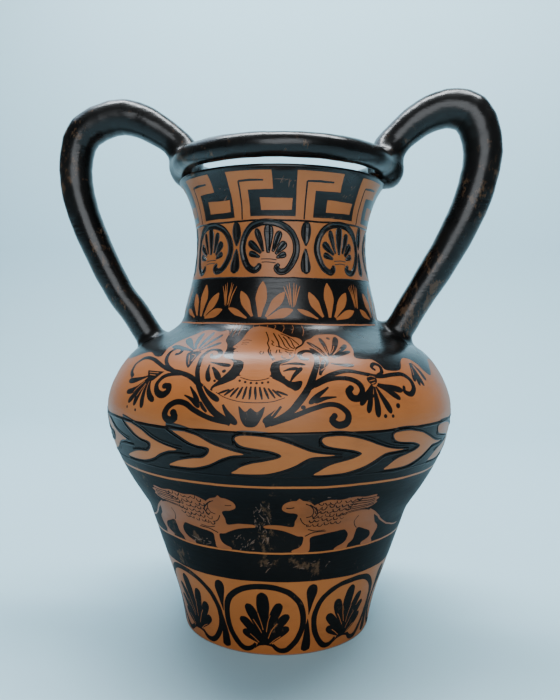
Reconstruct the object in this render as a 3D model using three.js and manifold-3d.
// Painted amphora: one fired clay vessel with a wide belly, a flared neck, two high loop handles
// and a round clay ring that stands a finger's breadth above the lip, carried by the handles.
// Millimetres, +Z up, origin at the centre of the flat underside, painted front towards -Y.

import * as THREE from 'three';
import { mergeVertices } from 'three/addons/utils/BufferGeometryUtils.js';
import Module from 'manifold-3d';

// Thrown body: radius, height and lean (radius gained per height) at each turning point of the
// outer wall. The belly and the neck's waist stand upright there.
const foot = { radius: 85, height: 2, lean: 0.18 };
const knee = { radius: 118.1, height: 112, lean: 0.33 };
const belly = { radius: 155.2, height: 200.5, lean: 0 };
const shoulder = { radius: 123.2, height: 254, lean: -2.06 };
const neckBase = { radius: 88.1, height: 280.5, lean: -0.11 };
const neckWaist = { radius: 77.1, height: 343.5, lean: 0 };
const lip = { radius: 92.7, height: 400, lean: 1.2 };
// How far the curve between two turning points keeps the lean of its lower and of its upper end
const wallCurves = [
  [foot, knee, 0.33, 0.75],
  [knee, belly, 0.08, 0.47],
  [belly, shoulder, 0.35, 0.14],
  [shoulder, neckBase, 0.38, 0.43],
  [neckBase, neckWaist, 0.17, 0.42],
  [neckWaist, lip, 0.47, 0.08],
];

// Walls of the hollow
const wallThickness = 8;
const lipThickness = 5.5;
const floorThickness = 12;
const floorCorner = 8;

// Ring above the lip
const ringTubeRadius = 9.1;
const ringGap = 5;
const ringOverhang = 1.3;

// Handles, from the root on the shoulder over the crown, which rises above the ring, to the ring.
// Each bend is given as its share of the way out, its share of the way up, and the rod's radius.
// The wad sits this far out from the ring's middle line and this far under it.
const leftHandle = {
  name: 'left',
  side: -1,
  rootAcross: 122.6,
  reach: 197.5,
  crownRise: 50.4,
  rootFlare: 19,
  bends: [
    [0.02, 0.02, 15.0],
    [0.11, 0.07, 13.2],
    [0.22, 0.13, 13.2],
    [0.40, 0.21, 13.2],
    [0.765, 0.46, 14.4],
    [0.95, 0.64, 15.0],
    [1.00, 0.79, 15.3],
    [0.88, 0.93, 16.4],
    [0.44, 1.00, 16.4],
    [0.14, 0.98, 15.6],
    [0.00, 0.955, 15.0],
    [-0.23, 0.90, 13.6],
    [-0.40, 0.84, 13.0],
  ],
  endRadius: 11.5,
  wad: { size: [9.5, 13, 12.2], out: -2.5, drop: 3.6 },
};
const rightHandle = {
  name: 'right',
  side: 1,
  rootAcross: 104.9,
  reach: 178.4,
  crownRise: 51.5,
  rootFlare: 19,
  bends: [
    [0.03, 0.02, 14.6],
    [0.09, 0.05, 13.4],
    [0.17, 0.105, 13.4],
    [0.34, 0.21, 13.9],
    [0.65, 0.405, 15.1],
    [0.93, 0.645, 16.2],
    [1.00, 0.83, 16.9],
    [0.86, 0.97, 18.0],
    [0.63, 1.00, 17.2],
    [0.42, 0.985, 16.0],
    [0.21, 0.945, 14.9],
    [0.01, 0.88, 13.8],
    [-0.11, 0.83, 12.9],
  ],
  endRadius: 11,
  wad: { size: [12, 14, 12], out: 3, drop: 5.6 },
};

// Facets
const turnSides = 56;
const outerSteps = 5;
const innerSteps = 4;
const rodSides = 12;
const rodSteps = 26;
const ringSides = 10;
const wadSides = 12;

const wasm = await Module();
wasm.setup();

function solidOf(geometry) {
  geometry.deleteAttribute('normal');
  geometry.deleteAttribute('uv');
  const merged = mergeVertices(geometry, 1e-3);
  return new wasm.Manifold(new wasm.Mesh({
    numProp: 3,
    vertProperties: new Float32Array(merged.attributes.position.array),
    triVerts: new Uint32Array(merged.index.array),
  }));
}

// Outer wall from the foot's edge to the lip, as smooth curves through the turning points
function outerWall(steps) {
  const wall = new THREE.Path();
  wall.moveTo(foot.radius, foot.height);
  for (const [low, high, lowKeep, highKeep] of wallCurves) {
    const rise = high.height - low.height;
    const top = high === lip ? lip.height - lipThickness / 2 : high.height;
    wall.bezierCurveTo(
      low.radius + low.lean * rise * lowKeep, low.height + rise * lowKeep,
      high.radius - high.lean * rise * highKeep, top - rise * highKeep,
      high.radius, top);
  }
  return wall.getPoints(steps);
}

// Each point of the outer wall moved inwards, square to the wall, by the wall's thickness there
function innerWall(outer) {
  const inner = outer.map((point, i) => {
    const before = outer[Math.max(i - 1, 0)];
    const after = outer[Math.min(i + 1, outer.length - 1)];
    const along = after.clone().sub(before).normalize();
    const nearLip = THREE.MathUtils.smoothstep(point.y, neckWaist.height, lip.height);
    const thickness = THREE.MathUtils.lerp(wallThickness, lipThickness, nearLip);
    return new THREE.Vector2(point.x - along.y * thickness, point.y + along.x * thickness);
  });
  return inner.filter((point) => point.y < lip.height);
}

function radiusAt(profile, height) {
  const above = profile.findIndex((point) => point.y >= height);
  const high = profile[above];
  const low = profile[above - 1];
  return THREE.MathUtils.mapLinear(height, low.y, high.y, low.x, high.x);
}

function heightAt(profile, radius) {
  const inside = profile.findIndex((point) => point.y > belly.height && point.x <= radius);
  const near = profile[inside];
  const far = profile[inside - 1];
  return THREE.MathUtils.mapLinear(radius, far.x, near.x, far.y, near.y);
}

function turned(points) {
  const lathe = new THREE.LatheGeometry(points, turnSides);
  lathe.rotateX(Math.PI / 2);
  return solidOf(lathe);
}

function solidBody(outer) {
  const last = outer[outer.length - 1];
  return turned([
    new THREE.Vector2(0, 0),
    new THREE.Vector2(foot.radius - foot.height, 0),
    ...outer,
    new THREE.Vector2(last.x - lipThickness * 0.25, lip.height),
    new THREE.Vector2(0, lip.height),
  ]);
}

// The hollow runs from the floor, with a rounded corner, to just above the lip and opens the mouth
function hollow(outer) {
  const cornerHeight = floorThickness + floorCorner;
  const inner = innerWall(outer).filter((point) => point.y > cornerHeight);
  const mouth = inner[inner.length - 1];
  const cornerRadius = radiusAt(outer, cornerHeight) - wallThickness;
  return turned([
    new THREE.Vector2(0, floorThickness),
    new THREE.Vector2(cornerRadius - floorCorner, floorThickness),
    new THREE.Vector2(cornerRadius - floorCorner * 0.3, floorThickness + floorCorner * 0.3),
    new THREE.Vector2(cornerRadius, cornerHeight),
    ...inner,
    new THREE.Vector2(mouth.x + 1, lip.height + ringGap / 2),
    new THREE.Vector2(0, lip.height + ringGap / 2),
  ]);
}

const ringRadius = lip.radius + ringOverhang;
const ringHeight = lip.height + ringGap + ringTubeRadius;

function ring() {
  return solidOf(new THREE.TorusGeometry(ringRadius, ringTubeRadius, ringSides, turnSides))
    .translate([0, 0, ringHeight]);
}

// Rod whose radius swells and thins along its route, closed by a flat cap at each end
function rolledRod(route, radii) {
  const positions = [];
  const faces = [];
  const sideways = new THREE.Vector3(0, 1, 0);
  for (let step = 0; step <= rodSteps; step += 1) {
    const share = step / rodSteps;
    const centre = route.getPoint(share);
    const across = route.getTangent(share).cross(sideways).normalize();
    const radius = radii.getPoint(share).x;
    for (let side = 0; side < rodSides; side += 1) {
      const angle = 2 * Math.PI * side / rodSides;
      const point = centre.clone()
        .addScaledVector(across, radius * Math.cos(angle))
        .addScaledVector(sideways, radius * Math.sin(angle));
      positions.push(point.x, point.y, point.z);
    }
  }
  const first = positions.length / 3;
  const start = route.getPoint(0);
  const end = route.getPoint(1);
  positions.push(start.x, start.y, start.z, end.x, end.y, end.z);
  for (let side = 0; side < rodSides; side += 1) {
    const next = (side + 1) % rodSides;
    for (let step = 0; step < rodSteps; step += 1) {
      const a = step * rodSides + side;
      const b = step * rodSides + next;
      faces.push(a, a + rodSides, b, b, a + rodSides, b + rodSides);
    }
    const lastRow = rodSteps * rodSides;
    faces.push(first, side, next, first + 1, lastRow + next, lastRow + side);
  }
  const rod = new THREE.BufferGeometry();
  rod.setAttribute('position', new THREE.Float32BufferAttribute(positions, 3));
  rod.setIndex(faces);
  return rod;
}

function handle(spec, outer) {
  const rootHeight = heightAt(outer, spec.rootAcross);
  const rise = ringHeight + spec.crownRise - rootHeight;
  const spread = spec.reach - spec.rootAcross;
  const stations = [
    [spec.rootAcross - wallThickness * 0.5, rootHeight - wallThickness, spec.rootFlare],
    ...spec.bends.map(([out, up, radius]) => [
      spec.rootAcross + out * spread, rootHeight + up * rise, radius]),
    [ringRadius, ringHeight, spec.endRadius],
  ];
  const route = new THREE.CatmullRomCurve3(
    stations.map(([across, height]) => new THREE.Vector3(spec.side * across, 0, height)));
  const radii = new THREE.CatmullRomCurve3(
    stations.map(([, , radius]) => new THREE.Vector3(radius, 0, 0)));
  return solidOf(rolledRod(route, radii));
}

// Wad of clay pressed between the lip and the ring, under the end of the handle
function wad(spec) {
  const [across, deep, high] = spec.wad.size;
  const ball = new THREE.SphereGeometry(1, wadSides, wadSides / 2);
  ball.rotateX(Math.PI / 2);
  ball.scale(across, deep, high);
  return solidOf(ball).translate([
    spec.side * (ringRadius + spec.wad.out), 0, ringHeight - spec.wad.drop]);
}

function amphora() {
  const outer = outerWall(outerSteps);
  const added = [leftHandle, rightHandle]
    .flatMap((spec) => [handle(spec, outer), wad(spec)])
    .reduce((whole, piece) => whole.add(piece), solidBody(outer));
  const vessel = added.subtract(hollow(outerWall(innerSteps))).add(ring());
  const { vertProperties, triVerts } = vessel.getMesh();
  const geometry = new THREE.BufferGeometry();
  geometry.setAttribute('position', new THREE.BufferAttribute(vertProperties, 3));
  geometry.setIndex(new THREE.BufferAttribute(triVerts, 1));
  geometry.computeVertexNormals();
  const glaze = new THREE.MeshStandardMaterial({ color: 0x5a3524, roughness: 0.4, metalness: 0 });
  const mesh = new THREE.Mesh(geometry, glaze);
  mesh.name = 'amphora';
  return mesh;
}

const part = new THREE.Group();
part.add(amphora());

export default part;
